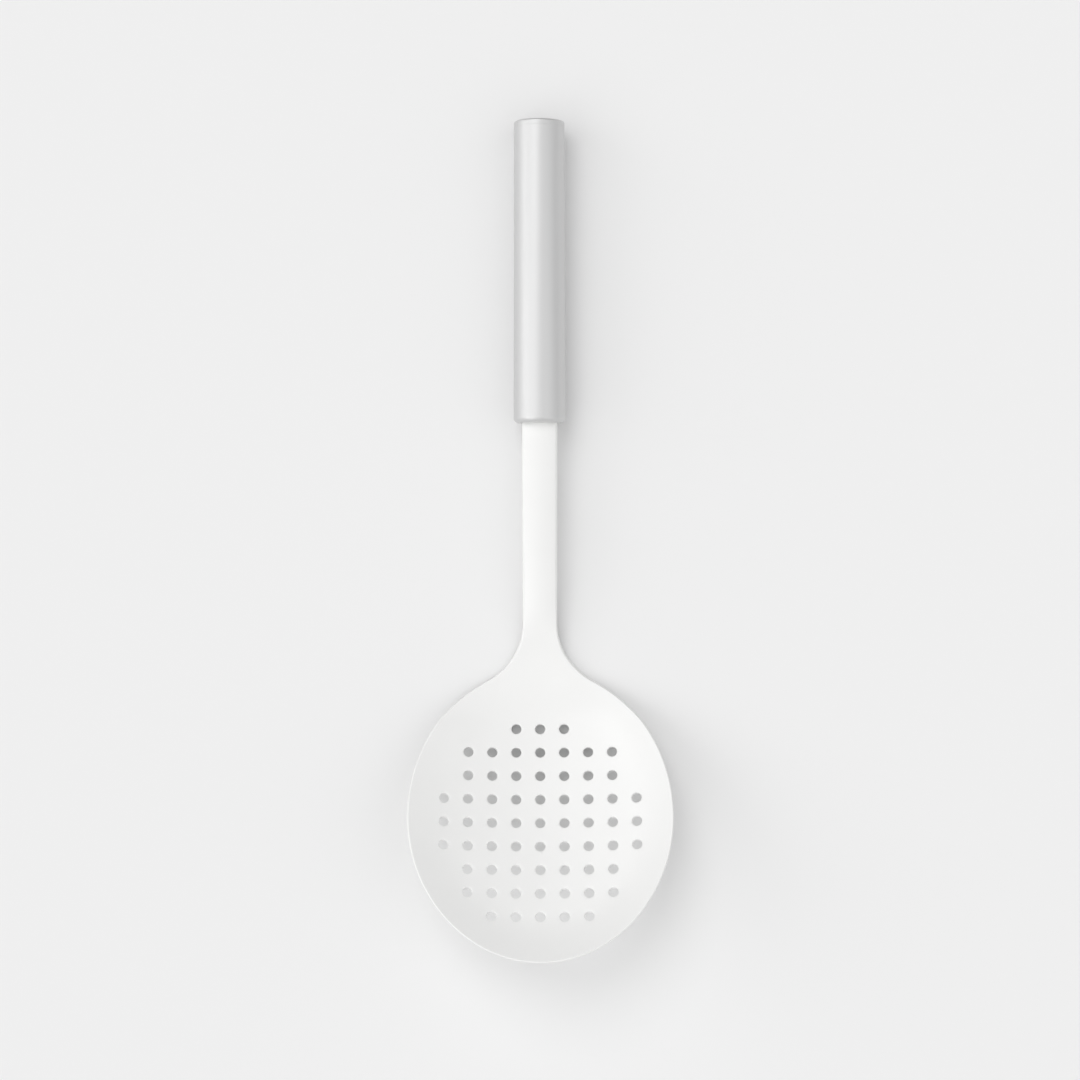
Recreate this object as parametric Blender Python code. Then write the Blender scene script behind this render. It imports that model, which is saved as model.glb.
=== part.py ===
# Kitchen skimmer: a white nylon dish with drain holes on a stem, held in a round steel handle.
# It lies bowl up on a table: the handle points to +Y, the tip of the dish to -Y, and up is +Z.
# The origin is on the table, under the middle of the skimmer's length.

import math

import bmesh
import bpy
import numpy as np
from mathutils import Matrix

# Driving dimensions, in metres, with angles in degrees

# Dish, measured on its surface from the middle of the hole pattern
DISH_WIDTH = 0.1097
DISH_CENTRE = 0.0018
DISH_TIP_REACH = 0.0600
DISH_NECK_REACH = 0.0660
DISH_WALL = 0.0022
DISH_TILT = 21.4
DISH_LONG_RADIUS = 0.420
DISH_CROSS_RADIUS = 0.270
LIP_WIDTH = 0.0250
LIP_RISE = 0.0028
LIP_FADE_START = 55
LIP_FADE_END = 20
RIM_ROUND = 0.0009

# Drain holes, on a square grid inside an oval field
HOLE_DIAMETER = 0.0042
HOLE_PITCH = 0.0100
SIDE_LAND = 0.0111
TIP_LAND = 0.0138
NECK_LAND = 0.0237

# Neck, which dips from the stem to the table and rises again as the dish; it starts to turn up, then
# to thicken, before the end of the dish's oval
NECK_FILLET = 0.0285
NECK_START = 0.0230
NECK_SWELL = 0.0120
NECK_SAG_RADIUS = 0.0550
NECK_CREST_RADIUS = 0.1350

# Stem and the tang that carries it on into the handle; the crown grows past the end of the oval
STEM_LENGTH = 0.0505
STEM_NECK_WIDTH = 0.0142
STEM_HANDLE_WIDTH = 0.0147
STEM_THICKNESS = 0.0105
STEM_CROWN_RADIUS = 0.0280
CROWN_START = 0.0120
CROWN_END = 0.0300
TANG_LENGTH = 0.0400

# Core that fills the handle round the tang, and the pin through both
CORE_MOUTH_WALL = 0.0008
CORE_END_WALL = 0.0040
SOCKET_CORNER = 0.0036
PIN_DIAMETER = 0.0030
PIN_TO_TANG_END = 0.0140

# Handle tube, rolled in at its front end, and the cap that closes its back end
HANDLE_LENGTH = 0.1253
HANDLE_TAPER = 0.0007
TUBE_WALL = 0.0008
ROLL_RADIUS = 0.0021
CAP_WALL = 0.0010
CAP_DOME = 0.0012
CAP_FLAT_DIAMETER = 0.0170
CAP_SKIRT = 0.0080

# Clearances
FIT = 0.0003
SEAM = 0.0002

# Facets
RIM_STEPS = 14
FILLET_STEPS = 6
ROUND_SEGMENTS = 2
HOLE_SIDES = 16
TURN_SIDES = 60
ARC_STEPS = 6
CELLS_PER_PITCH = 2
NECK_CELLS = 18
CREASE_ANGLE = 35

# Working limits: the rim's round as a share of the wall, the neck's climb in degrees, cutters as
# multiples of what they cut, steps of a search and samples along the side profile
ROUND_SHARE = 0.45
LEAST_CLIMB = 2
STEEPEST_CLIMB = 80
OVERCUT = 2
HALVINGS = 60
PROFILE_SAMPLES = 800

# Sizes that follow from the ones above
HALF_DISH = DISH_WIDTH / 2
TIP_HALF = DISH_TIP_REACH + DISH_CENTRE
NECK_HALF = DISH_NECK_REACH - DISH_CENTRE
HALF_STEM = STEM_HANDLE_WIDTH / 2
MOUTH_RADIUS = HALF_STEM + FIT + CORE_MOUTH_WALL
TUBE_OPENING = MOUTH_RADIUS + FIT
FRONT_RADIUS = TUBE_OPENING + ROLL_RADIUS
BACK_RADIUS = FRONT_RADIUS - HANDLE_TAPER / 2
TUBE_LENGTH = HANDLE_LENGTH - CAP_DOME - CAP_WALL - SEAM
AXIS_HEIGHT = FRONT_RADIUS
DISH_ARC = DISH_NECK_REACH - NECK_START
SWELL_START = DISH_NECK_REACH - NECK_SWELL
RIM_RADIUS = min(RIM_ROUND, ROUND_SHARE * DISH_WALL)
PIN_SETBACK = TANG_LENGTH - PIN_TO_TANG_END
PIN_HOLE = PIN_DIAMETER + 2 * FIT
SOCKET_DEPTH = TANG_LENGTH + FIT
SNAP = FIT / 10


def smoothstep(start, end, value):
    """Ease from 0 at start to 1 at end."""
    share = np.clip((value - start) / (end - start), 0.0, 1.0)
    return share * share * (3.0 - 2.0 * share)


def solve(function, low, high):
    """Root of a rising function between low and high, by halving."""
    for _ in range(HALVINGS):
        middle = (low + high) / 2
        if function(middle) < 0.0:
            low = middle
        else:
            high = middle
    return (low + high) / 2


# Head: a flat blank is drawn, pierced and then formed along its side profile


class SideProfile:
    """Tangent arcs of the head seen from the side: dish, neck sag, neck crest and straight stem.

    Distances run along the profile from the middle of the hole pattern towards the handle.
    """

    def __init__(self, climb):
        turns = (
            (DISH_ARC, 1.0 / DISH_LONG_RADIUS),
            (None, 1.0 / NECK_SAG_RADIUS),
            (climb * NECK_CREST_RADIUS, -1.0 / NECK_CREST_RADIUS),
            (STEM_LENGTH + TANG_LENGTH, 0.0),
        )
        self.arcs = []
        along, slope, y, z = 0.0, -math.radians(DISH_TILT), 0.0, 0.0
        for length, turn in turns:
            if length is None:
                length = (climb - slope) / turn
            self.arcs.append((along, slope, turn, y, z))
            along += length
            chord = length * np.sinc(turn * length / math.tau)
            y += chord * math.cos(slope + turn * length / 2)
            z += chord * math.sin(slope + turn * length / 2)
            slope += turn * length
        self.end = along
        self.shoulder = along - TANG_LENGTH
        self.stem_start = self.arcs[3][0]
        self.y_shoulder = y - TANG_LENGTH
        self.z_stem = z

    def follow(self, along):
        """Place, height and slope of the profile, measured from where the stem enters the handle."""
        starts = [arc[0] for arc in self.arcs]
        index = np.clip(np.searchsorted(starts, along, side="right") - 1, 0, None)
        start, slope, turn, y, z = np.array(self.arcs)[index].T
        run = along - start
        chord = run * np.sinc(turn * run / math.tau)
        middle = slope + turn * run / 2
        y = y + chord * np.cos(middle) - self.y_shoulder
        z = z + chord * np.sin(middle) - self.z_stem
        return y, z, slope + turn * run

    def thickness(self, x, along):
        """Dish wall at the tip, growing through the neck to the crowned stem."""
        share = smoothstep(SWELL_START, self.stem_start, along)
        crown = smoothstep(CROWN_START, CROWN_END, along - DISH_NECK_REACH) * x**2 / STEM_CROWN_RADIUS
        return DISH_WALL + share * (STEM_THICKNESS - DISH_WALL) - crown

    def hollow(self, x, along):
        """How far the surface lifts above the side profile: the cross curve and the steeper lip.

        The lip runs round the tip and the sides, and fades out where the neck begins.
        """
        cross = x**2 / (2 * DISH_CROSS_RADIUS)
        cross *= 1.0 - smoothstep(SWELL_START, self.stem_start, along)
        past = along - DISH_CENTRE
        reach = np.where(past > 0.0, NECK_HALF, TIP_HALF)
        oval = np.maximum(np.hypot(x / HALF_DISH, past / reach), SNAP)
        inset = np.maximum(np.hypot(x, past) * (1.0 / oval - 1.0), 0.0)
        lip = LIP_RISE * np.maximum(1.0 - inset / LIP_WIDTH, 0.0) ** 2
        bearing = np.arctan2(np.abs(x) / HALF_DISH, past / reach)
        lip *= smoothstep(math.radians(LIP_FADE_END), math.radians(LIP_FADE_START), bearing)
        return cross + lip

    def surface(self, x, along):
        """Middle of the wall at x across and along the profile."""
        y, z, slope = self.follow(along)
        lift = self.hollow(x, along)
        return np.stack([x, y - np.sin(slope) * lift, z + np.cos(slope) * lift], axis=-1)

    def form(self, flat):
        """Bend blank points (across, along, height in the dish wall) to their formed places."""
        x, along, height = flat.T
        across = self.surface(x + SNAP, along) - self.surface(x - SNAP, along)
        ahead = self.surface(x, along + SNAP) - self.surface(x, along - SNAP)
        normal = np.cross(across, ahead)
        normal /= np.linalg.norm(normal, axis=1, keepdims=True)
        lift = height * self.thickness(x, along) / DISH_WALL
        return self.surface(x, along) + normal * lift[:, None]

    def lowest(self):
        """Height of the underside's lowest point on the middle line, from the stem's middle."""
        along = np.linspace(0.0, self.end, PROFILE_SAMPLES)
        _, z, slope = self.follow(along)
        return float(np.min(z - np.cos(slope) * self.thickness(np.zeros_like(along), along) / 2))


def resting_profile():
    """The neck climbs just steeply enough for dish and handle to touch the table together."""
    def miss(climb):
        return -SideProfile(climb).lowest() - AXIS_HEIGHT

    return SideProfile(solve(miss, math.radians(LEAST_CLIMB), math.radians(STEEPEST_CLIMB)))


def oval_point(angle, reach):
    """Point of the dish's outline, with angle 0 at the end of reach from the dish's widest line."""
    return HALF_DISH * math.sin(angle), DISH_CENTRE + reach * math.cos(angle)


def half_outline(profile):
    """Right half of the blank from the tip to the tang's end, as (across, along) points."""
    half_neck = STEM_NECK_WIDTH / 2

    def fillet_centre(angle):
        x, along = oval_point(angle, NECK_HALF)
        normal_x = NECK_HALF * math.sin(angle)
        normal_along = HALF_DISH * math.cos(angle)
        reach = NECK_FILLET / math.hypot(normal_x, normal_along)
        return x + normal_x * reach, along + normal_along * reach

    meet = solve(lambda angle: fillet_centre(angle)[0] - NECK_FILLET - half_neck, 0.0, math.pi / 2)
    centre_x, centre_along = fillet_centre(meet)
    meet_x, meet_along = oval_point(meet, NECK_HALF)
    first = math.atan2(meet_along - centre_along, meet_x - centre_x) % math.tau

    points = []
    for step in range(RIM_STEPS):
        points.append(oval_point(math.pi / 2 * step / RIM_STEPS, -TIP_HALF))
    for step in range(RIM_STEPS):
        neck_angle = math.pi / 2 + (meet - math.pi / 2) * step / RIM_STEPS
        points.append(oval_point(neck_angle, NECK_HALF))
    for step in range(FILLET_STEPS + 1):
        angle = first + (math.pi - first) * step / FILLET_STEPS
        x = centre_x + NECK_FILLET * math.cos(angle)
        points.append((x, centre_along + NECK_FILLET * math.sin(angle)))
    points.append((HALF_STEM, profile.shoulder))
    points.append((HALF_STEM, profile.end))
    return points


def hole_places():
    """Grid points inside the oval field that the lands round it leave."""
    neck_end = DISH_NECK_REACH - NECK_LAND
    tip_end = DISH_TIP_REACH - TIP_LAND
    middle = (neck_end - tip_end) / 2
    half_length = (neck_end + tip_end) / 2
    half_width = HALF_DISH - SIDE_LAND
    count = int(max(half_width, neck_end, tip_end) / HOLE_PITCH) + 1
    for row in range(-count, count + 1):
        for column in range(-count, count + 1):
            x, along = column * HOLE_PITCH, row * HOLE_PITCH
            if math.hypot(x / half_width, (along - middle) / half_length) < 1.0:
                yield x, along


def flat_blank(profile):
    """Plate of the head's developed outline, with a rounded rim, sliced so that it can bend."""
    right = half_outline(profile)
    left = [(-x, along) for x, along in reversed(right) if x > 0.0]
    bm = bmesh.new()
    face = bm.faces.new([bm.verts.new((x, along, -DISH_WALL / 2)) for x, along in right + left])
    raised = bmesh.ops.extrude_face_region(bm, geom=[face])["geom"]
    raised = [item for item in raised if isinstance(item, bmesh.types.BMVert)]
    bmesh.ops.translate(bm, verts=raised, vec=(0, 0, DISH_WALL))
    bmesh.ops.recalc_face_normals(bm, faces=bm.faces)
    rim = [edge for edge in bm.edges if edge.verts[0].co.z == edge.verts[1].co.z]
    bmesh.ops.bevel(bm, geom=rim, offset=RIM_RADIUS, segments=ROUND_SEGMENTS, profile=0.5,
                    affect="EDGES")

    cell = HOLE_PITCH / CELLS_PER_PITCH
    columns = int(HALF_DISH / cell)
    slices = [((column * cell, 0, 0), (1, 0, 0)) for column in range(-columns, columns + 1)]
    rows = range(-int(DISH_TIP_REACH / cell), int(DISH_ARC / cell))
    bends = np.linspace(DISH_ARC, profile.stem_start, NECK_CELLS)
    for along in [row * cell for row in rows] + list(bends):
        slices.append(((0, along, 0), (0, 1, 0)))
    for place, normal in slices:
        geometry = bm.verts[:] + bm.edges[:] + bm.faces[:]
        bmesh.ops.bisect_plane(bm, geom=geometry, dist=SNAP, plane_co=place, plane_no=normal)
    return bm


def cylinder(bm, place, diameter, length, sides):
    """Add a closed cylinder along Z, with a flat side towards +X."""
    turn = Matrix.Rotation(math.pi / sides, 4, "Z")
    bmesh.ops.create_cone(bm, cap_ends=True, segments=sides, radius1=diameter / 2, radius2=diameter / 2,
                          depth=length, matrix=Matrix.Translation(place) @ turn)


def make_head():
    """Dish, neck, stem and tang in one moulding.

    The exact solver leaves a loose disc in one drain hole, so the manifold solver cuts them.
    """
    profile = resting_profile()
    head = new_object("skimmer_head", flat_blank(profile))
    punches = bmesh.new()
    for x, along in hole_places():
        cylinder(punches, (x, along, 0), HOLE_DIAMETER, OVERCUT * DISH_WALL, HOLE_SIDES)
    pin_place = (0, profile.shoulder + PIN_SETBACK, 0)
    cylinder(punches, pin_place, PIN_HOLE, OVERCUT * DISH_WALL, HOLE_SIDES)
    cut(head, new_object("drain_punches", punches), solver="MANIFOLD")
    apply_modifiers(head)

    bm = bmesh.new()
    bm.from_mesh(head.data)
    bmesh.ops.triangulate(bm, faces=bm.faces)
    formed = profile.form(np.array([vert.co[:] for vert in bm.verts]))
    for vert, place in zip(bm.verts, formed):
        vert.co = place
    bm.to_mesh(head.data)
    bm.free()
    return head


# Handle pieces: turned profiles of (radius, distance from the handle's front end)


def arc(centre, radius, first, last):
    """Points of an arc in a turned profile, with angles in degrees from the outward direction."""
    points = []
    for step in range(ARC_STEPS + 1):
        angle = math.radians(first + (last - first) * step / ARC_STEPS)
        points.append((centre[0] + radius * math.cos(angle), centre[1] + radius * math.sin(angle)))
    return points


def tube_radius(distance):
    """Outside radius of the tapering tube."""
    share = (distance - ROLL_RADIUS) / (HANDLE_LENGTH - ROLL_RADIUS)
    return FRONT_RADIUS + (BACK_RADIUS - FRONT_RADIUS) * share


def turned(name, points, closed):
    """Spin a profile about the handle's axis, which is the object's own Z."""
    bm = bmesh.new()
    verts = [bm.verts.new((radius, 0, distance)) for radius, distance in points]
    edges = [bm.edges.new(pair) for pair in zip(verts, verts[1:])]
    if closed:
        edges.append(bm.edges.new((verts[-1], verts[0])))
    bmesh.ops.spin(bm, geom=verts + edges, cent=(0, 0, 0), axis=(0, 0, 1), angle=math.tau,
                   steps=TURN_SIDES, use_merge=True)
    bmesh.ops.remove_doubles(bm, verts=bm.verts, dist=SNAP)
    bmesh.ops.recalc_face_normals(bm, faces=bm.faces)
    return new_object(name, bm)


def make_tube():
    """Steel tube whose front edge is rolled in over the core."""
    centre = (TUBE_OPENING, ROLL_RADIUS)
    points = arc(centre, ROLL_RADIUS, -90, 0)
    points.append((tube_radius(TUBE_LENGTH), TUBE_LENGTH))
    points.append((tube_radius(TUBE_LENGTH) - TUBE_WALL, TUBE_LENGTH))
    points += arc(centre, ROLL_RADIUS - TUBE_WALL, 0, -90)
    return turned("handle_tube", points, closed=True)


def make_cap():
    """Pressed cup with a flat end, a rounded shoulder and a skirt inside the tube."""
    flat = CAP_FLAT_DIAMETER / 2
    seat = TUBE_LENGTH + SEAM
    outside = tube_radius(seat)
    shoulder = outside - flat
    bend = (shoulder**2 + CAP_DOME**2) / (2 * CAP_DOME)
    opening = math.degrees(math.asin(shoulder / bend))
    skirt = tube_radius(TUBE_LENGTH) - TUBE_WALL - FIT
    points = [(0, HANDLE_LENGTH)]
    points += arc((flat, HANDLE_LENGTH - bend), bend, 90, 90 - opening)
    points += [(outside, seat), (skirt, seat), (skirt, seat - CAP_SKIRT)]
    points += [(skirt - CAP_WALL, seat - CAP_SKIRT), (skirt - CAP_WALL, seat), (0, seat)]
    return turned("end_cap", points, closed=False)


def make_core():
    """Moulded core with a mouth in the rolled edge, a socket for the tang and a cross hole."""
    neck_end = ROLL_RADIUS + FIT
    end = SOCKET_DEPTH + CORE_END_WALL
    points = [(0, 0), (MOUTH_RADIUS, 0), (MOUTH_RADIUS, neck_end)]
    points += [(tube_radius(place) - TUBE_WALL - FIT, place) for place in (neck_end, end)]
    points.append((0, end))
    core = turned("tang_core", points, closed=False)

    socket = bmesh.new()
    size = (STEM_HANDLE_WIDTH + 2 * FIT, STEM_THICKNESS + 2 * FIT, 2 * SOCKET_DEPTH)
    bmesh.ops.create_cube(socket, size=1.0, matrix=Matrix.Diagonal((*size, 1)))
    corners = [edge for edge in socket.edges if edge.verts[0].co.xy == edge.verts[1].co.xy]
    bmesh.ops.bevel(socket, geom=corners, offset=SOCKET_CORNER, segments=ARC_STEPS, profile=0.5,
                    affect="EDGES")
    cut(core, new_object("socket_cutter", socket))

    drill = bmesh.new()
    cylinder(drill, (0, 0, 0), PIN_HOLE, OVERCUT * 2 * FRONT_RADIUS, HOLE_SIDES)
    across = Matrix.Translation((0, 0, PIN_SETBACK)) @ Matrix.Rotation(math.pi / 2, 4, "X")
    bmesh.ops.transform(drill, matrix=across, verts=drill.verts)
    cut(core, new_object("pin_drill", drill))
    return core


def make_pin():
    """Steel pin across core and tang, kept in by the tube round it."""
    length = 2 * (tube_radius(PIN_SETBACK) - TUBE_WALL - 2 * FIT)
    bm = bmesh.new()
    cylinder(bm, (0, 0, 0), PIN_DIAMETER, length, HOLE_SIDES)
    return new_object("core_pin", bm)


# Objects, finishes and assembly


def new_object(name, bm):
    """Link a bmesh to the scene as an object."""
    mesh = bpy.data.meshes.new(name)
    bm.to_mesh(mesh)
    bm.free()
    obj = bpy.data.objects.new(name, mesh)
    bpy.context.scene.collection.objects.link(obj)
    return obj


def cut(obj, cutter, solver="EXACT"):
    """Subtract a cutter that stays hidden in the file."""
    cutter.hide_render = True
    cutter.display_type = "WIRE"
    cutter.parent = obj
    difference = obj.modifiers.new(cutter.name, "BOOLEAN")
    difference.operation = "DIFFERENCE"
    difference.solver = solver
    difference.object = cutter


def apply_modifiers(obj):
    """Keep the evaluated mesh and drop the modifiers and their cutters."""
    mesh = bpy.data.meshes.new_from_object(obj.evaluated_get(bpy.context.evaluated_depsgraph_get()))
    for modifier in list(obj.modifiers):
        bpy.data.objects.remove(modifier.object)
        obj.modifiers.remove(modifier)
    obj.data = mesh


def finish(obj, name, colour, roughness, metallic):
    """Give an object its material and smooth shading with crisp edges."""
    material = bpy.data.materials.new(name)
    material.use_nodes = True
    shader = material.node_tree.nodes["Principled BSDF"]
    shader.inputs["Base Color"].default_value = (*colour, 1.0)
    shader.inputs["Roughness"].default_value = roughness
    shader.inputs["Metallic"].default_value = metallic
    obj.data.materials.clear()
    obj.data.materials.append(material)
    obj.data.shade_smooth()
    obj.data.set_sharp_from_angle(angle=math.radians(CREASE_ANGLE))


def main():
    for obj in list(bpy.data.objects):
        bpy.data.objects.remove(obj)

    head = make_head()
    tip = min(vert.co.y for vert in head.data.vertices)
    front = -(HANDLE_LENGTH + tip) / 2

    assembly = bpy.data.objects.new("handle_front", None)
    bpy.context.scene.collection.objects.link(assembly)
    assembly.location = (0, front, AXIS_HEIGHT)

    core, pin, tube, cap = make_core(), make_pin(), make_tube(), make_cap()
    for piece in (core, tube, cap):
        piece.rotation_euler = (-math.pi / 2, 0, 0)
    pin.location = (0, PIN_SETBACK, 0)
    for piece in (head, core, pin, tube, cap):
        piece.parent = assembly

    finish(head, "white_nylon", (0.86, 0.86, 0.85), 0.42, 0.0)
    finish(core, "core_nylon", (0.80, 0.80, 0.79), 0.50, 0.0)
    finish(pin, "pin_steel", (0.55, 0.55, 0.56), 0.30, 1.0)
    finish(tube, "satin_steel", (0.66, 0.66, 0.66), 0.38, 1.0)
    finish(cap, "cap_steel", (0.66, 0.66, 0.66), 0.38, 1.0)


main()
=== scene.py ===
# Kitchen skimmer: the looks of a white moulded nylon head on a satin steel handle.
# It lies bowl up on a pale table and is seen from straight above.
# Pieces are modelled in millimetres and scaled to metres when they are finished.

import math

import bmesh
import bpy
import numpy as np
from mathutils import Matrix, Vector


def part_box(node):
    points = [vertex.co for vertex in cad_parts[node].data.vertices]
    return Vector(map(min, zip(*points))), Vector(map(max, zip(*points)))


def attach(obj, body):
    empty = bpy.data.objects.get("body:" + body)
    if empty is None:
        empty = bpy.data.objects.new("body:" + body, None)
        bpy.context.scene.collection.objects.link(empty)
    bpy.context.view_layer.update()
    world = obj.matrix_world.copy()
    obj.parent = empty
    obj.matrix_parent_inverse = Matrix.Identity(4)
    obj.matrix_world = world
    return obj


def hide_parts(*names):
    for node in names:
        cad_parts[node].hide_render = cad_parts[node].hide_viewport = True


mm = 0.001
near = 0.01               # mm, within which two places count as one
weld = 0.001              # mm, within which vertices are merged
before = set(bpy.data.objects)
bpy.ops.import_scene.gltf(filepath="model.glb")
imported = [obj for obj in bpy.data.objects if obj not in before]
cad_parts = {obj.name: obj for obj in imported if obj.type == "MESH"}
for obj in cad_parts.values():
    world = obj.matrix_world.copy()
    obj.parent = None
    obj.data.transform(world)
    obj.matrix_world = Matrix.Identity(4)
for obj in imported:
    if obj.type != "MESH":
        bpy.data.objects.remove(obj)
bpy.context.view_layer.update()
print("frame loaded:", ", ".join(sorted(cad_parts)))


def boxInMm(node):
    low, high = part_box(node)
    return low / mm, high / mm


def easeBetween(start, end, value):
    share = np.clip((value - start) / (end - start), 0.0, 1.0)
    return share * share * (3.0 - 2.0 * share)


# Shared by the handle's pieces and the stem: where the handle begins and how high its axis is
tubeLow, tubeHigh = boxInMm("handle_tube")
handleFront = tubeLow.y
axisHeight = (tubeLow.z + tubeHigh.z) / 2


# Camera, straight above the table as in the photograph

photoView = {
    "height": 1050.0,         # above the table
    "across": 0.04,           # beside the skimmer's middle
    "beforeHandle": 48.62,    # from the handle's front end towards the dish
    "roll": -0.1,             # degrees
    "lens": 83.29,
    "sensor": 36.0,
    "clip": (0.01, 100.0),    # metres
}


def makeCamera():
    data = bpy.data.cameras.new("photoCamera")
    data.lens = photoView["lens"]
    data.sensor_width = photoView["sensor"]
    data.clip_start, data.clip_end = photoView["clip"]
    camera = bpy.data.objects.new("photoCamera", data)
    bpy.context.scene.collection.objects.link(camera)
    place = (photoView["across"], handleFront - photoView["beforeHandle"], photoView["height"])
    camera.location = Vector(place) * mm
    camera.rotation_euler.z = math.radians(photoView["roll"])
    bpy.context.scene.camera = camera


makeCamera()
print("camera set")


# Materials

noiseLow, noiseHigh = 0.3, 0.7   # between which most of a noise's values lie


def hexColour(code):
    channels = [int(code[place:place + 2], 16) / 255 for place in (0, 2, 4)]
    linear = [c / 12.92 if c <= 0.04045 else ((c + 0.055) / 1.055) ** 2.4 for c in channels]
    return (*linear, 1.0)


def addNode(material, kind, settings, inputs):
    node = material.node_tree.nodes.new(kind)
    for name, value in settings.items():
        setattr(node, name, value)
    for name, value in inputs.items():
        if isinstance(value, bpy.types.NodeSocket):
            material.node_tree.links.new(value, node.inputs[name])
        else:
            node.inputs[name].default_value = value
    return node


def startMaterial(name):
    material = bpy.data.materials.new(name)
    material.use_nodes = True
    shader = material.node_tree.nodes["Principled BSDF"]
    place = addNode(material, "ShaderNodeTexCoord", {}, {}).outputs["Object"]
    return material, shader, place


def finishSurface(material, shader, look, tone, grain):
    # the tone mixes the two colours, and the grain varies the gloss and gives the fine relief
    colour = addNode(material, "ShaderNodeMix", {"data_type": "RGBA"}, {
        0: tone, 6: hexColour(look["deepTone"]), 7: hexColour(look["paleTone"])})
    gloss = addNode(material, "ShaderNodeMapRange", {}, {
        "Value": grain, "From Min": noiseLow, "From Max": noiseHigh,
        "To Min": look["roughness"][0], "To Max": look["roughness"][1]})
    relief = addNode(material, "ShaderNodeBump", {}, {
        "Height": grain, "Strength": 1.0, "Distance": look["grainDepth"] * mm})
    material.node_tree.links.new(colour.outputs[2], shader.inputs["Base Color"])
    material.node_tree.links.new(gloss.outputs["Result"], shader.inputs["Roughness"])
    material.node_tree.links.new(relief.outputs["Normal"], shader.inputs["Normal"])


nylonLook = {
    "paleTone": "F5F5F4",
    "deepTone": "F2F2F1",
    "toneWidth": 16.0,        # mm, soft patches left by the melt's flow
    "toneDetail": 2.0,
    "grainWidth": 0.30,       # mm, spark-eroded mould skin, drawn coarser than the real 0.05 to show
    "grainDepth": 0.004,      # mm
    "grainDetail": 3.0,
    "roughness": (0.28, 0.36),
    "ior": 1.53,
}


def mouldedNylon(name, look):
    # injection-moulded nylon: a dense white with a satin skin that blurs what it reflects
    material, shader, place = startMaterial(name)
    tone = addNode(material, "ShaderNodeTexNoise", {}, {
        "Vector": place, "Scale": 1 / (look["toneWidth"] * mm), "Detail": look["toneDetail"]})
    grain = addNode(material, "ShaderNodeTexNoise", {}, {
        "Vector": place, "Scale": 1 / (look["grainWidth"] * mm), "Detail": look["grainDetail"]})
    finishSurface(material, shader, look, tone.outputs["Fac"], grain.outputs["Fac"])
    shader.inputs["IOR"].default_value = look["ior"]
    return material


steelLook = {
    "paleTone": "DDDDDD",
    "deepTone": "D6D6D6",
    "grainWidth": 0.22,       # mm, lengthwise satin grind, drawn coarser than the real 0.05 to show
    "grainLength": 14.0,      # mm
    "grainDepth": 0.0015,     # mm
    "grainDetail": 3.0,
    "roughness": (0.46, 0.56),
}


def satinSteel(name, look):
    # stainless steel ground with a fine belt: soft grey, with broad bands of light along the tube
    material, shader, place = startMaterial(name)
    across, length = 1 / (look["grainWidth"] * mm), 1 / (look["grainLength"] * mm)
    along = addNode(material, "ShaderNodeMapping", {}, {"Vector": place, "Scale": (across, length, across)})
    lines = addNode(material, "ShaderNodeTexNoise", {}, {
        "Vector": along.outputs["Vector"], "Scale": 1.0, "Detail": look["grainDetail"]})
    finishSurface(material, shader, look, lines.outputs["Fac"], lines.outputs["Fac"])
    shader.inputs["Metallic"].default_value = 1.0
    return material


whiteNylon = mouldedNylon("mouldedWhiteNylon", nylonLook)
coreNylon = mouldedNylon("mouldedCoreNylon", {**nylonLook, "paleTone": "E9E9E7", "deepTone": "E3E3E1"})
handleSteel = satinSteel("satinStainlessSteel", steelLook)
pinSteel = satinSteel("drawnSteelWire", {**steelLook, "paleTone": "C6C6C8", "deepTone": "BBBBBD"})
print("materials made")


# Pieces

def extendEdge(bm, last, places):
    # draw on from a vertex through more places
    for place in places:
        corner = bm.verts.new(place)
        bm.edges.new((last, corner))
        last = corner
    return last


def turnVert(bm, vert, centre, axis, angle, steps):
    # draw on from a vertex along an arc
    turned = bmesh.ops.spin(bm, geom=[vert], cent=centre, axis=axis, angle=angle, steps=steps,
                            use_merge=False)
    return next(item for item in turned["geom_last"] if isinstance(item, bmesh.types.BMVert))


def asObject(name, bm):
    mesh = bpy.data.meshes.new(name)
    bm.to_mesh(mesh)
    bm.free()
    thing = bpy.data.objects.new(name, mesh)
    bpy.context.scene.collection.objects.link(thing)
    return thing


def makePiece(name, bm, node, material):
    bmesh.ops.scale(bm, vec=(mm, mm, mm), verts=bm.verts)
    piece = asObject(name, bm)
    piece.data.shade_smooth()
    piece.data.materials.append(material)
    # flats stay flat beside small rounds
    evenNormals = piece.modifiers.new("evenNormals", "WEIGHTED_NORMAL")
    evenNormals.weight = 100
    evenNormals.keep_sharp = True
    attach(piece, "root")
    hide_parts(node)
    return piece


# Head: a flat plate of its outline is pierced and then bent into dish, neck and stem

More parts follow.
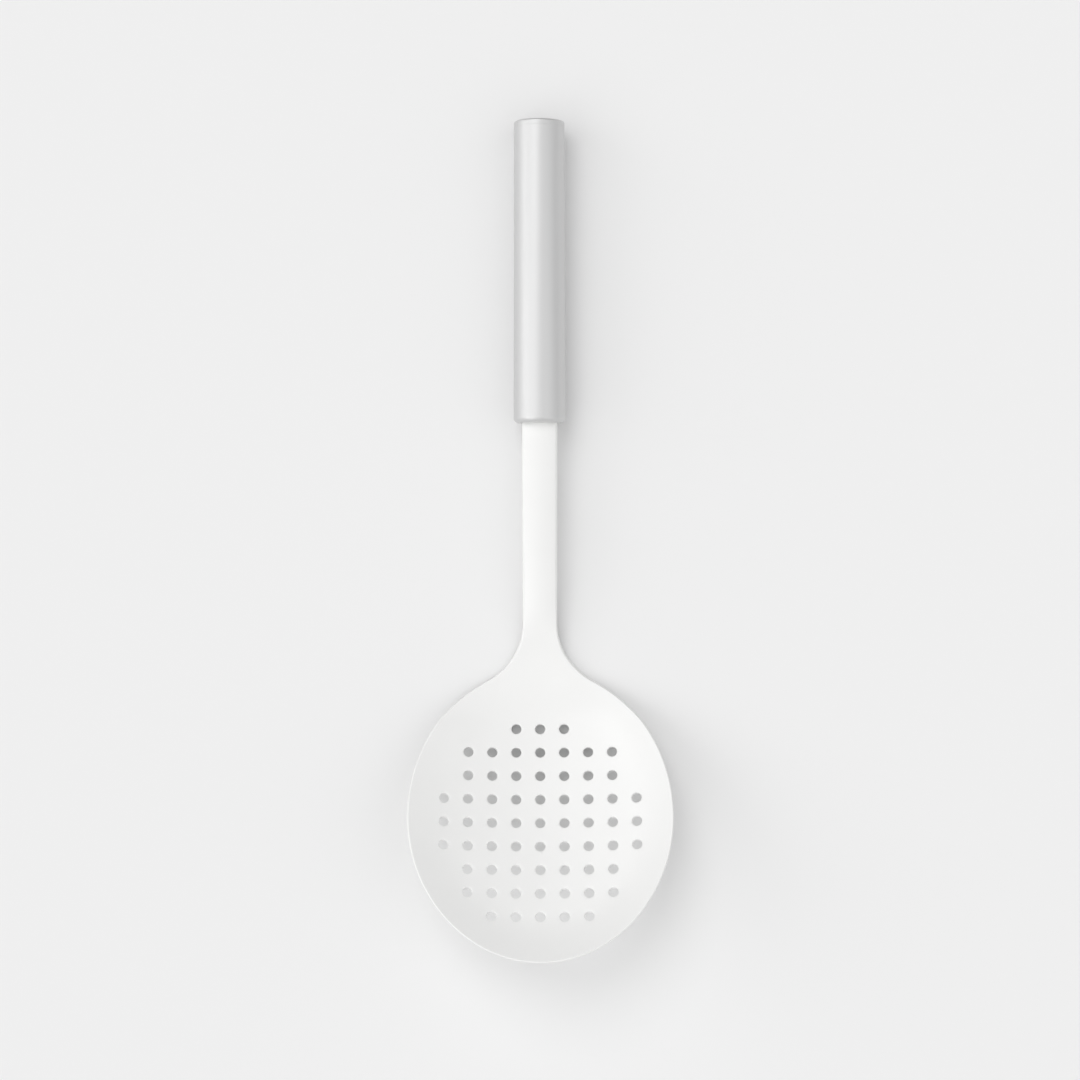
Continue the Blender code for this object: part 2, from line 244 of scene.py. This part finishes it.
headSizes = {
    "width": 109.45,          # across the dish, on the flat plate
    "centre": 1.8,            # from the middle of the hole grid to the dish's widest line
    "tipReach": 60.11,        # from the same point to the tip
    "neckReach": 66.0,        # and to where the dish's oval would end at the neck
    "wall": 2.2,
    "rimRound": 0.55,
    "rimWall": 1.7,           # the wall at the edge of the dish
    "rimUpright": 0.5,        # how far the edge of the dish turns from square to its wall to upright
    "rimFade": 9.0,           # how far in from the edge it does so
    "tilt": 21.4,             # degrees, at the middle of the hole grid
    "longRadius": 420.0,      # of the dish, from neck to tip
    "crossRadius": 270.0,     # and from side to side
    "lipWidth": 20.0,         # over which the dish rises more steeply to its edge
    "lipRise": 2.63,
    "lipFade": (20, 55),      # degrees round from the neck, over which the lip grows
    "neckFillet": 28.5,
    "neckStart": 23.0,        # how far before the oval's end the neck begins to turn up
    "neckSwell": 12.0,        # and to thicken
    "sagRadius": 55.0,        # of the dip at the neck
    "crestRadius": 135.0,     # of the bend from there into the stem
    "climb": 18.376,          # degrees, between sag and crest
    "stemLength": 50.5,
    "stemNeckWidth": 14.2,
    "stemHandleWidth": 14.7,
    "stemThickness": 10.5,
    "stemCrown": 17.0,        # radius of the stem's top and underside, across
    "stemRound": 1.0,         # of the stem's long edges, which are rounder than the dish's
    "stemRoundGrowth": 12.0,  # over which they become so
    "crownGrowth": (12.0, 30.0),   # past the oval's end, where the crown begins and is full
    "tangLength": 40.0,
    "ovalSides": 168,
    "filletSides": 16,
    "rimSegments": 5,
    "dishCell": 2.0,
    "neckCell": 1.5,
    "stemCell": 5.0,
}
holeSizes = {
    "diameter": 4.2,
    "pitch": 10.0,
    "edgeRound": 0.30,
    "edgeTurn": 75,           # degrees of the edge's round that are cut
    "sideLand": 11.2,
    "tipLand": 14.2,
    "neckLand": 23.7,
    "sides": 32,
    "edgeSteps": 3,
    "overcut": 1.0,
    "pinPlay": 0.3,           # round the pin, in the tang
}
halfWidth = headSizes["width"] / 2
halfWall = headSizes["wall"] / 2
dishArc = headSizes["neckReach"] - headSizes["neckStart"]
swellStart = headSizes["neckReach"] - headSizes["neckSwell"]
tipHalf = headSizes["tipReach"] + headSizes["centre"]
neckHalf = headSizes["neckReach"] - headSizes["centre"]


def sideArcs():
    # start, slope, turn, y and z of each arc from the middle of the hole grid to the tang
    slope = -math.radians(headSizes["tilt"])
    climb = math.radians(headSizes["climb"])
    neckSlope = slope + dishArc / headSizes["longRadius"]
    stretches = (
        (dishArc, 1 / headSizes["longRadius"]),
        ((climb - neckSlope) * headSizes["sagRadius"], 1 / headSizes["sagRadius"]),
        (climb * headSizes["crestRadius"], -1 / headSizes["crestRadius"]),
        (headSizes["stemLength"] + headSizes["tangLength"], 0.0),
    )
    arcs = []
    along, y, z = 0.0, 0.0, 0.0
    for length, turn in stretches:
        arcs.append((along, slope, turn, y, z))
        chord = length * np.sinc(turn * length / math.tau)
        y += chord * math.cos(slope + turn * length / 2)
        z += chord * math.sin(slope + turn * length / 2)
        along += length
        slope += turn * length
    return np.array(arcs), along, y - headSizes["tangLength"], z


arcs, plateEnd, shoulderY, stemZ = sideArcs()
stemStart = arcs[-1][0]
shoulder = plateEnd - headSizes["tangLength"]


def followSide(along):
    index = np.clip(np.searchsorted(arcs[:, 0], along, side="right") - 1, 0, None)
    start, slope, turn, y, z = arcs[index].T
    run = along - start
    chord = run * np.sinc(turn * run / math.tau)
    middle = slope + turn * run / 2
    y, z = y + chord * np.cos(middle) - shoulderY, z + chord * np.sin(middle) - stemZ
    return y, z, slope + turn * run


def wallAt(x, along):
    share = easeBetween(swellStart, stemStart, along)
    crown = easeBetween(*headSizes["crownGrowth"], along - headSizes["neckReach"])
    crown = crown * x**2 / headSizes["stemCrown"]
    return headSizes["wall"] + share * (headSizes["stemThickness"] - headSizes["wall"]) - crown


def rimGrowth(x, along, width):
    # from 0, a width in from the edge of the dish, to 1 at the edge, and back to 0 round at the neck
    past = along - headSizes["centre"]
    reach = np.where(past > 0.0, neckHalf, tipHalf)
    oval = np.maximum(np.hypot(x / halfWidth, past / reach), 0.001)   # never zero at the centre
    inset = np.maximum(np.hypot(x, past) * (1.0 / oval - 1.0), 0.0)
    bearing = np.degrees(np.arctan2(np.abs(x) / halfWidth, past / reach))
    return np.maximum(1.0 - inset / width, 0.0) ** 2 * easeBetween(*headSizes["lipFade"], bearing)


def hollowAt(x, along):
    # the cross curve, and the steeper lip round tip and sides
    cross = x**2 / (2 * headSizes["crossRadius"])
    cross *= 1.0 - easeBetween(swellStart, stemStart, along)
    return cross + headSizes["lipRise"] * rimGrowth(x, along, headSizes["lipWidth"])


def middleOfWall(x, along):
    y, z, slope = followSide(along)
    lift = hollowAt(x, along)
    return np.stack([x, y - np.sin(slope) * lift, z + np.cos(slope) * lift], axis=-1)


def filletOf():
    # where the neck's fillet touches the oval, and the fillet's centre
    radius = headSizes["neckFillet"]
    centreX = headSizes["stemNeckWidth"] / 2 + radius
    low, high = 0.0, math.pi / 2
    while high - low > 1e-9:   # the angle at which it touches, halved down
        angle = (low + high) / 2
        x, along = halfWidth * math.sin(angle), neckHalf * math.cos(angle)
        outwards = Vector((neckHalf * math.sin(angle), halfWidth * math.cos(angle))).normalized()
        outX, outAlong = outwards * radius
        if x + outX < centreX:
            low = angle
        else:
            high = angle
    along += headSizes["centre"]
    return x, along, centreX, along + outAlong


touchX, touchAlong, filletX, filletAlong = filletOf()


def roundStem(x, along):
    # spreads the round of the plate's edge inwards along the stem
    widths = headSizes["stemNeckWidth"], headSizes["stemHandleWidth"]
    half = np.interp(along, (filletAlong, shoulder), widths) / 2
    inset = np.maximum(half - np.abs(x), 0.0)
    share = easeBetween(filletAlong, filletAlong + headSizes["stemRoundGrowth"], along)
    spread = share * inset * (headSizes["stemRound"] / headSizes["rimRound"] - 1.0)
    return x - np.sign(x) * np.where(inset < headSizes["rimRound"] + near, spread, 0.0)


def bendPlate(bm):
    x, along, height = np.array([vert.co[:] for vert in bm.verts]).T
    x = roundStem(x, along)
    step = 0.02   # to either side, for the slopes
    across = middleOfWall(x + step, along) - middleOfWall(x - step, along)
    ahead = middleOfWall(x, along + step) - middleOfWall(x, along - step)
    normal = np.cross(across, ahead)
    normal /= np.linalg.norm(normal, axis=1, keepdims=True)
    lift = (height * wallAt(x, along) / headSizes["wall"])[:, None]
    edge = rimGrowth(x, along, headSizes["rimFade"])[:, None]
    lift = lift * (1 + edge * (headSizes["rimWall"] / headSizes["wall"] - 1))
    lean = normal + ((0, 0, 1) - normal) * edge * headSizes["rimUpright"]
    places = middleOfWall(x, along) + lean * lift + (0, handleFront, axisHeight)
    for vert, place in zip(bm.verts, places):
        vert.co = place


def drawOutline(bm):
    ring = bmesh.ops.create_circle(bm, segments=headSizes["ovalSides"], radius=1.0)["verts"]
    for vert in ring:
        vert.co.x *= halfWidth
        vert.co.y = headSizes["centre"] + vert.co.y * (neckHalf if vert.co.y > 0 else tipHalf)
    gap = headSizes["width"] / headSizes["ovalSides"]
    neckVerts = [v for v in ring if v.co.y > touchAlong - gap and abs(v.co.x) < touchX + gap]
    bmesh.ops.delete(bm, geom=neckVerts, context="VERTS")
    ends = [v for v in bm.verts if len(v.link_edges) == 1]
    sweep = math.atan2(touchAlong - filletAlong, touchX - filletX) % math.tau - math.pi
    lastVerts = []
    for last in ends:
        side = math.copysign(1, last.co.x)
        last = extendEdge(bm, last, [(side * touchX, touchAlong, 0)])
        last = turnVert(bm, last, (side * filletX, filletAlong, 0), (0, 0, 1), -side * sweep,
                        headSizes["filletSides"])
        edgeX = side * headSizes["stemHandleWidth"] / 2
        lastVerts.append(extendEdge(bm, last, [(edgeX, shoulder, 0), (edgeX, plateEnd, 0)]))
    bm.edges.new(lastVerts)
    bmesh.ops.contextual_create(bm, geom=bm.edges[:])


def slicePlate(bm):
    # cells small enough for the plate to bend smoothly
    cell = headSizes["dishCell"]
    count, stemCount = int(halfWidth / cell), int(headSizes["stemHandleWidth"] / 2 / cell)
    columns = np.arange(-count, count + 1) * cell
    stemColumns = np.arange(-stemCount, stemCount) * cell + cell / 2
    rows = np.arange(-int(headSizes["tipReach"] / cell), int(dishArc / cell)) * cell
    bends = np.arange(dishArc, stemStart, headSizes["neckCell"])
    lengths = np.arange(stemStart, shoulder + headSizes["stemCell"], headSizes["stemCell"])
    cuts = [((x, 0, 0), (1, 0, 0)) for x in [*columns, *stemColumns]]
    cuts += [((0, along, 0), (0, 1, 0)) for along in [*rows, *bends, *lengths]]
    for place, direction in cuts:
        everything = bm.verts[:] + bm.edges[:] + bm.faces[:]
        bmesh.ops.bisect_plane(bm, geom=everything, dist=near, plane_co=place, plane_no=direction)


def flatPlate():
    bm = bmesh.new()
    drawOutline(bm)
    bmesh.ops.translate(bm, vec=(0, 0, -halfWall), verts=bm.verts)
    raised = bmesh.ops.extrude_face_region(bm, geom=bm.faces[:])["geom"]
    top = [item for item in raised if isinstance(item, bmesh.types.BMVert)]
    bmesh.ops.translate(bm, vec=(0, 0, headSizes["wall"]), verts=top)
    bmesh.ops.recalc_face_normals(bm, faces=bm.faces)
    rim = [edge for edge in bm.edges if edge.verts[0].co.z == edge.verts[1].co.z]
    bmesh.ops.bevel(bm, geom=rim, offset=headSizes["rimRound"], segments=headSizes["rimSegments"],
                    profile=0.5, affect="EDGES", material=-1)
    slicePlate(bm)
    return bm


def holePlaces():
    # the square grid's points inside the oval that the plain lands leave
    neckEnd = headSizes["neckReach"] - holeSizes["neckLand"]
    tipEnd = headSizes["tipReach"] - holeSizes["tipLand"]
    halfField = halfWidth - holeSizes["sideLand"]
    middle, halfLength = (neckEnd - tipEnd) / 2, (neckEnd + tipEnd) / 2
    count = int(max(halfField, neckEnd, tipEnd) / holeSizes["pitch"]) + 1
    for row in range(-count, count + 1):
        for column in range(-count, count + 1):
            x, along = column * holeSizes["pitch"], row * holeSizes["pitch"]
            if math.hypot(x / halfField, (along - middle) / halfLength) < 1.0:
                yield x, along


def drainPunches():
    # waisted pins that leave each hole with a rounded edge on both faces
    radius, edge = holeSizes["diameter"] / 2, holeSizes["edgeRound"]
    overcut = halfWall + holeSizes["overcut"]
    turn = math.radians(holeSizes["edgeTurn"])
    lastStepMiddle = turn * (1 - 0.5 / holeSizes["edgeSteps"])   # where the plate's face crosses the round
    start = halfWall - edge * math.sin(lastStepMiddle)
    bm = bmesh.new()
    last = extendEdge(bm, bm.verts.new((radius, 0, 0)), [(radius, 0, start)])
    last = turnVert(bm, last, (radius + edge, 0, start), (0, 1, 0), turn, holeSizes["edgeSteps"])
    outside = last.co.x + (overcut - last.co.z) * math.tan(turn)
    extendEdge(bm, last, [(outside, 0, overcut), (0, 0, overcut)])
    bmesh.ops.spin(bm, geom=bm.verts[:] + bm.edges[:], cent=(0, 0, 0), axis=(0, 0, 1), angle=math.tau,
                   steps=holeSizes["sides"], use_merge=True)
    bmesh.ops.mirror(bm, geom=bm.verts[:] + bm.edges[:] + bm.faces[:], axis="Z", merge_dist=weld)
    bmesh.ops.remove_doubles(bm, verts=bm.verts, dist=weld)
    bmesh.ops.recalc_face_normals(bm, faces=bm.faces)
    middlePunch = bm.verts[:] + bm.edges[:] + bm.faces[:]
    for x, along in holePlaces():
        if (x, along) != (0, 0):
            copied = bmesh.ops.duplicate(bm, geom=middlePunch)["geom"]
            verts = [item for item in copied if isinstance(item, bmesh.types.BMVert)]
            bmesh.ops.translate(bm, vec=(x, along, 0), verts=verts)
    pinLow, pinHigh = boxInMm("core_pin")
    pinRadius = (pinHigh.x - pinLow.x) / 2 + holeSizes["pinPlay"]
    pinPlace = (0, shoulder + (pinLow.y + pinHigh.y) / 2 - handleFront, 0)
    bmesh.ops.create_cone(bm, cap_ends=True, segments=holeSizes["sides"], radius1=pinRadius,
                          radius2=pinRadius, depth=2 * overcut, matrix=Matrix.Translation(pinPlace))
    return bm


def pierce(plateBm, punchBm):
    plate, punches = asObject("plate", plateBm), asObject("punches", punchBm)
    holes = plate.modifiers.new("holes", "BOOLEAN")
    holes.operation = "DIFFERENCE"
    holes.solver = "MANIFOLD"
    holes.object = punches
    pierced = bmesh.new()
    pierced.from_object(plate, bpy.context.evaluated_depsgraph_get())
    bpy.data.objects.remove(plate)
    bpy.data.objects.remove(punches)
    return pierced


def makeHead():
    bm = pierce(flatPlate(), drainPunches())
    bmesh.ops.triangulate(bm, faces=bm.faces)
    bendPlate(bm)
    return makePiece("headMoulding", bm, "skimmer_head", whiteNylon)


head = makeHead()
print("head made with", len(head.data.polygons), "faces")


# Handle: a tube rolled in at its front edge, and the pressed cap that closes its back

handleSizes = {
    "sides": 160,
    "wall": 0.8,
    "rollRadius": 2.1,
    "rollSegments": 10,
    "edgeRound": 0.10,        # of the sheet's edge at the mouth
    "edgeSegments": 2,
}
capSizes = {
    "cornerRound": 0.90,
    "cornerSteps": 10,
    "skirtGap": 0.3,          # between the cap's skirt and the tube
    "seam": 0.03,             # drawn nearly shut, as a pressed joint looks
    "wall": 1.0,
}
capLow, capHigh = boxInMm("end_cap")
tubeLength = tubeHigh.y - handleFront
frontRadius = (tubeHigh.x - tubeLow.x) / 2
backRadius = (capHigh.x - capLow.x) / 2


def ontoHandle(bm):
    # from a piece modelled about Z, with the handle's front end at zero
    bmesh.ops.rotate(bm, cent=(0, 0, 0), matrix=Matrix.Rotation(-math.pi / 2, 3, "X"), verts=bm.verts)
    bmesh.ops.translate(bm, vec=(0, handleFront, axisHeight), verts=bm.verts)


def ringAt(bm, height, radius):
    ring = {v for v in bm.verts if abs(v.co.z - height) < near and abs(v.co.xy.length - radius) < near}
    return [edge for edge in bm.edges if ring.issuperset(edge.verts)]


def makeTube():
    bm = bmesh.new()
    bmesh.ops.create_cone(bm, cap_ends=True, segments=handleSizes["sides"], radius1=frontRadius,
                          radius2=backRadius, depth=tubeLength,
                          matrix=Matrix.Translation((0, 0, tubeLength / 2)))
    ends = [face for face in bm.faces if len(face.verts) > 4]
    front, back = sorted(ends, key=lambda face: face.calc_center_median().z)
    bmesh.ops.delete(bm, geom=[back], context="FACES_ONLY")
    bmesh.ops.bevel(bm, geom=front.edges[:], offset=handleSizes["rollRadius"],
                    segments=handleSizes["rollSegments"], profile=0.5, affect="EDGES", material=-1)
    mouth = [face for face in bm.faces if len(face.verts) > 4]
    bmesh.ops.delete(bm, geom=mouth, context="FACES_ONLY")
    bmesh.ops.solidify(bm, geom=bm.faces[:], thickness=handleSizes["wall"])
    mouthEdge = ringAt(bm, 0, frontRadius - handleSizes["rollRadius"])
    bmesh.ops.bevel(bm, geom=mouthEdge, offset=handleSizes["edgeRound"],
                    segments=handleSizes["edgeSegments"], profile=0.5, affect="EDGES", material=-1)
    ontoHandle(bm)
    return makePiece("handleTube", bm, "handle_tube", handleSteel)


def makeCap():
    corner, end = capSizes["cornerRound"], capHigh.y - handleFront
    seat = tubeLength + capSizes["seam"]
    skirt = backRadius - handleSizes["wall"] - capSizes["skirtGap"]
    inside, skirtEnd = skirt - capSizes["wall"], capLow.y - handleFront
    floor = end - corner - capSizes["wall"]
    flat = backRadius - corner
    bm = bmesh.new()
    last = extendEdge(bm, bm.verts.new((0, 0, end)), [(flat, 0, end)])
    last = turnVert(bm, last, (flat, 0, end - corner), (0, 1, 0), math.pi / 2, capSizes["cornerSteps"])
    extendEdge(bm, last, [(backRadius, 0, seat), (skirt, 0, seat), (skirt, 0, skirtEnd),
                          (inside, 0, skirtEnd), (inside, 0, floor), (0, 0, floor)])
    bmesh.ops.spin(bm, geom=bm.verts[:] + bm.edges[:], cent=(0, 0, 0), axis=(0, 0, 1), angle=math.tau,
                   steps=handleSizes["sides"], use_merge=True)
    bmesh.ops.remove_doubles(bm, verts=bm.verts, dist=weld)
    bmesh.ops.recalc_face_normals(bm, faces=bm.faces)
    for edge in ringAt(bm, seat, backRadius):   # a crisp edge where the cap meets the tube
        edge.smooth = False
    ontoHandle(bm)
    return makePiece("handleCap", bm, "end_cap", handleSteel)


tube = makeTube()
cap = makeCap()
print("handle made with", len(tube.data.polygons) + len(cap.data.polygons), "faces")


# Core and pin keep their solids and get the finish of what they are made of

for node, material in (("tang_core", coreNylon), ("core_pin", pinSteel)):
    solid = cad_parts[node]
    solid.data.materials.clear()
    solid.data.materials.append(material)
print("core and pin dressed")


# Table and light

tableLook = {
    "colour": "EFEFEF",
    "size": 40.0,             # metres, so that it also fills low views
    "roughness": 0.9,
}
skyLook = {
    "colour": "FFFFFF",
    "strength": 0.270,
}
lamps = {
    # name: degrees down from overhead and round from +X, width of the soft source in degrees, strength
    "keyLamp": (36, 118, 34, 0.726),
    "softBox": (40, 262, 140, 1.271),
    "lowSideLamp": (72, 170, 36, 0.427),
    "sideLamp": (48, 208, 50, 0.470),
    "fillLamp": (52, 5, 70, 0.434),
}


def makeTable():
    bm = bmesh.new()
    bmesh.ops.create_grid(bm, x_segments=1, y_segments=1, size=tableLook["size"] / 2)
    table = asObject("table", bm)
    material = bpy.data.materials.new("paleTable")
    material.use_nodes = True
    shader = material.node_tree.nodes["Principled BSDF"]
    shader.inputs["Base Color"].default_value = hexColour(tableLook["colour"])
    shader.inputs["Roughness"].default_value = tableLook["roughness"]
    shader.inputs["Specular IOR Level"].default_value = 0.0   # no glare in low views
    table.data.materials.append(material)


def makeSky():
    world = bpy.data.worlds.new("studioSky")
    world.use_nodes = True
    bpy.context.scene.world = world
    back = world.node_tree.nodes["Background"]
    back.inputs["Color"].default_value = hexColour(skyLook["colour"])
    back.inputs["Strength"].default_value = skyLook["strength"]


def makeLamps():
    for name, (down, around, width, strength) in lamps.items():
        data = bpy.data.lights.new(name, "SUN")
        data.energy = strength
        data.angle = math.radians(width)
        lamp = bpy.data.objects.new(name, data)
        bpy.context.scene.collection.objects.link(lamp)
        lamp.rotation_euler = (math.radians(down), 0, math.radians(around + 90))


makeTable()
makeSky()
makeLamps()
print("table and light made")

bpy.context.scene.view_settings.view_transform = "Standard"
